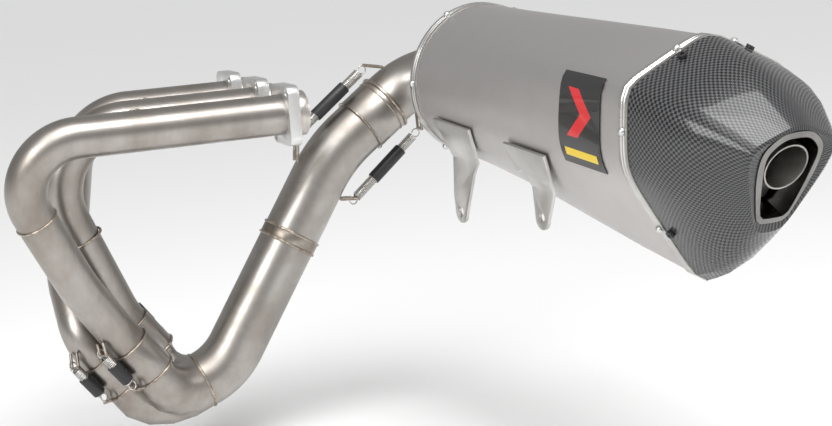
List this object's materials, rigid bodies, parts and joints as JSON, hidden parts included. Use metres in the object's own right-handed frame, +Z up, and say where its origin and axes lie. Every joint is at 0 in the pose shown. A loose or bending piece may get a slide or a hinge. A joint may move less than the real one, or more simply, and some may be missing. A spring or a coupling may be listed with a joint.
{
  "type": "racing exhaust system",
  "caption": "Three-into-one racing exhaust: bent header tubes with loose port flanges, sprung slip collector, link pipe and tapered silencer with a carbon end cap.",
  "frame": {"origin": "centre of the middle port on its flange's gasket face", "axes": "+X out of the port into the engine, +Y along the row of ports from the tube with the longest reach, +Z up"},
  "size_m": [0.5645, 0.6844, 0.3912],
  "materials": {
    "header_tube": "thin titanium tube, brushed, light tan heat tint at the bends",
    "turned_ring": "turned ring, satin",
    "flange": "milled plate, bead blasted",
    "lug_wire": "bent wire, welded, dull",
    "spring_steel": "bright spring wire",
    "rubber": "smooth black rubber",
    "collector": "welded titanium sheet, faint heat tint",
    "link_pipe": "brushed titanium tube",
    "joint_ring": "ring with brown heat tint",
    "silencer_skin": "bead-blasted titanium sheet, satin",
    "strap": "pressed band, satin",
    "rivet": "domed head, satin",
    "core": "perforated tube and pressed plate, sooty",
    "packing": "needled glass wool",
    "carbon": "carbon fibre weave under clear lacquer",
    "outlet": "satin titanium",
    "bolt": "black button-head screw",
    "hanger": "folded sheet, satin",
    "badge": null
  },
  "bodies": {
    "headers": {"header_tube_near": "header_tube", "header_tube_mid": "header_tube", "header_tube_far": "header_tube", "port_ring_near": "turned_ring", "port_ring_mid": "turned_ring", "port_ring_far": "turned_ring", "balance_tube_front": "header_tube", "balance_tube_rear": "header_tube", "header_spring_lugs": "lug_wire", "collector_spring_near": "spring_steel", "collector_spring_mid": "spring_steel", "collector_spring_far": "spring_steel", "collector_boot_near": "rubber", "collector_boot_mid": "rubber", "collector_boot_far": "rubber"},
    "flange_near": {"port_flange_near": "flange"},
    "flange_mid": {"port_flange_mid": "flange"},
    "flange_far": {"port_flange_far": "flange"},
    "collector": {"inlet_sleeve_near": "collector", "inlet_sleeve_mid": "collector", "inlet_sleeve_far": "collector", "merge_collector": "collector", "collector_spring_lugs": "lug_wire", "link_pipe_lower": "link_pipe", "link_joint_ring": "joint_ring", "link_pipe_upper": "link_pipe", "link_spring_lugs": "lug_wire", "silencer_spring_upper": "spring_steel", "silencer_spring_lower": "spring_steel", "silencer_boot_upper": "rubber", "silencer_boot_lower": "rubber"},
    "silencer": {"slip_socket": "link_pipe", "inlet_bend": "link_pipe", "inlet_spring_lugs": "lug_wire", "inlet_cap": "silencer_skin", "perforated_core": "core", "packing": "packing", "outer_sleeve": "silencer_skin", "inlet_strap": "strap", "outlet_strap": "strap", "inlet_rivets": "rivet", "outlet_rivets": "rivet", "end_plate": "core", "carbon_end_cap": "carbon", "outlet_trim": "outlet", "outlet_pipe": "outlet", "outlet_web": "outlet", "cap_bolts": "bolt", "hanger_front": "hanger", "hanger_rear": "hanger", "badge_plate": "badge"}
  },
  "joints": [
    {"name": "flange_near_turn", "type": "hinge", "parent": "headers", "child": "flange_near", "pos_m": [-0.0055, -0.086, 0], "axis": [1, 0, 0], "continuous": true},
    {"name": "flange_mid_turn", "type": "hinge", "parent": "headers", "child": "flange_mid", "pos_m": [-0.0055, 0, 0], "axis": [1, 0, 0], "continuous": true},
    {"name": "flange_far_turn", "type": "hinge", "parent": "headers", "child": "flange_far", "pos_m": [-0.0055, 0.086, 0], "axis": [1, 0, 0], "continuous": true},
    {"name": "collector_slip", "type": "slide", "parent": "headers", "child": "collector", "axis": [0.6, 0, -0.8], "range_m": [0, 0.01], "stiffness_N_per_m": 12000, "springref_m": -0.012, "deforming": ["collector_spring_near", "collector_spring_mid", "collector_spring_far", "collector_boot_near", "collector_boot_mid", "collector_boot_far"]},
    {"name": "silencer_swivel", "type": "hinge", "parent": "collector", "child": "silencer", "pos_m": [0.12933, 0, -0.01054], "axis": [0.809, 0, 0.5878], "range_deg": [-12, 12], "deforming": ["silencer_spring_upper", "silencer_spring_lower", "silencer_boot_upper", "silencer_boot_lower"]}
  ]
}
